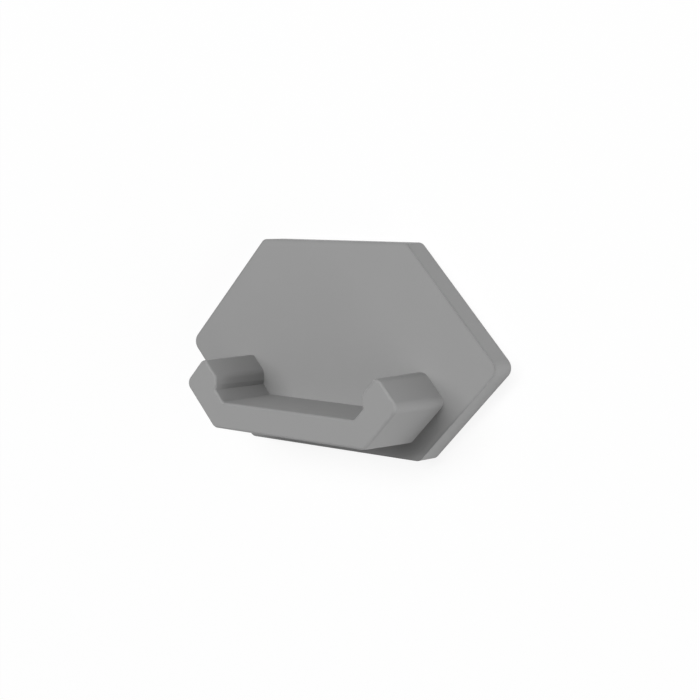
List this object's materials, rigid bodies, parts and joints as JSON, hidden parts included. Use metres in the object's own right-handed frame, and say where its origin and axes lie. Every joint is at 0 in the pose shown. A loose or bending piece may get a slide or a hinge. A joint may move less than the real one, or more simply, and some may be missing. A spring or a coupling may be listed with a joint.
{
  "type": "profile end cap",
  "caption": "Thin flat six-sided cover plate with a C-shaped press-in plug that closes the cut end of a small six-sided light profile.",
  "frame": {"origin": "middle of the cover plate's outer face, which lies flat on Z = 0", "axes": "+X along the plate's long width; +Y towards the side of the profile that carries the diffuser, where the plug's channel is open; +Z out of the plate's inner face, the way the plug points into the profile"},
  "size_m": [0.0206, 0.0104, 0.0044],
  "materials": {
    "end_cap": "plain grey moulded plastic with a fine, even, satin to matte surface"
  },
  "bodies": {
    "root": {"end_cap": "end_cap"}
  },
  "joints": []
}
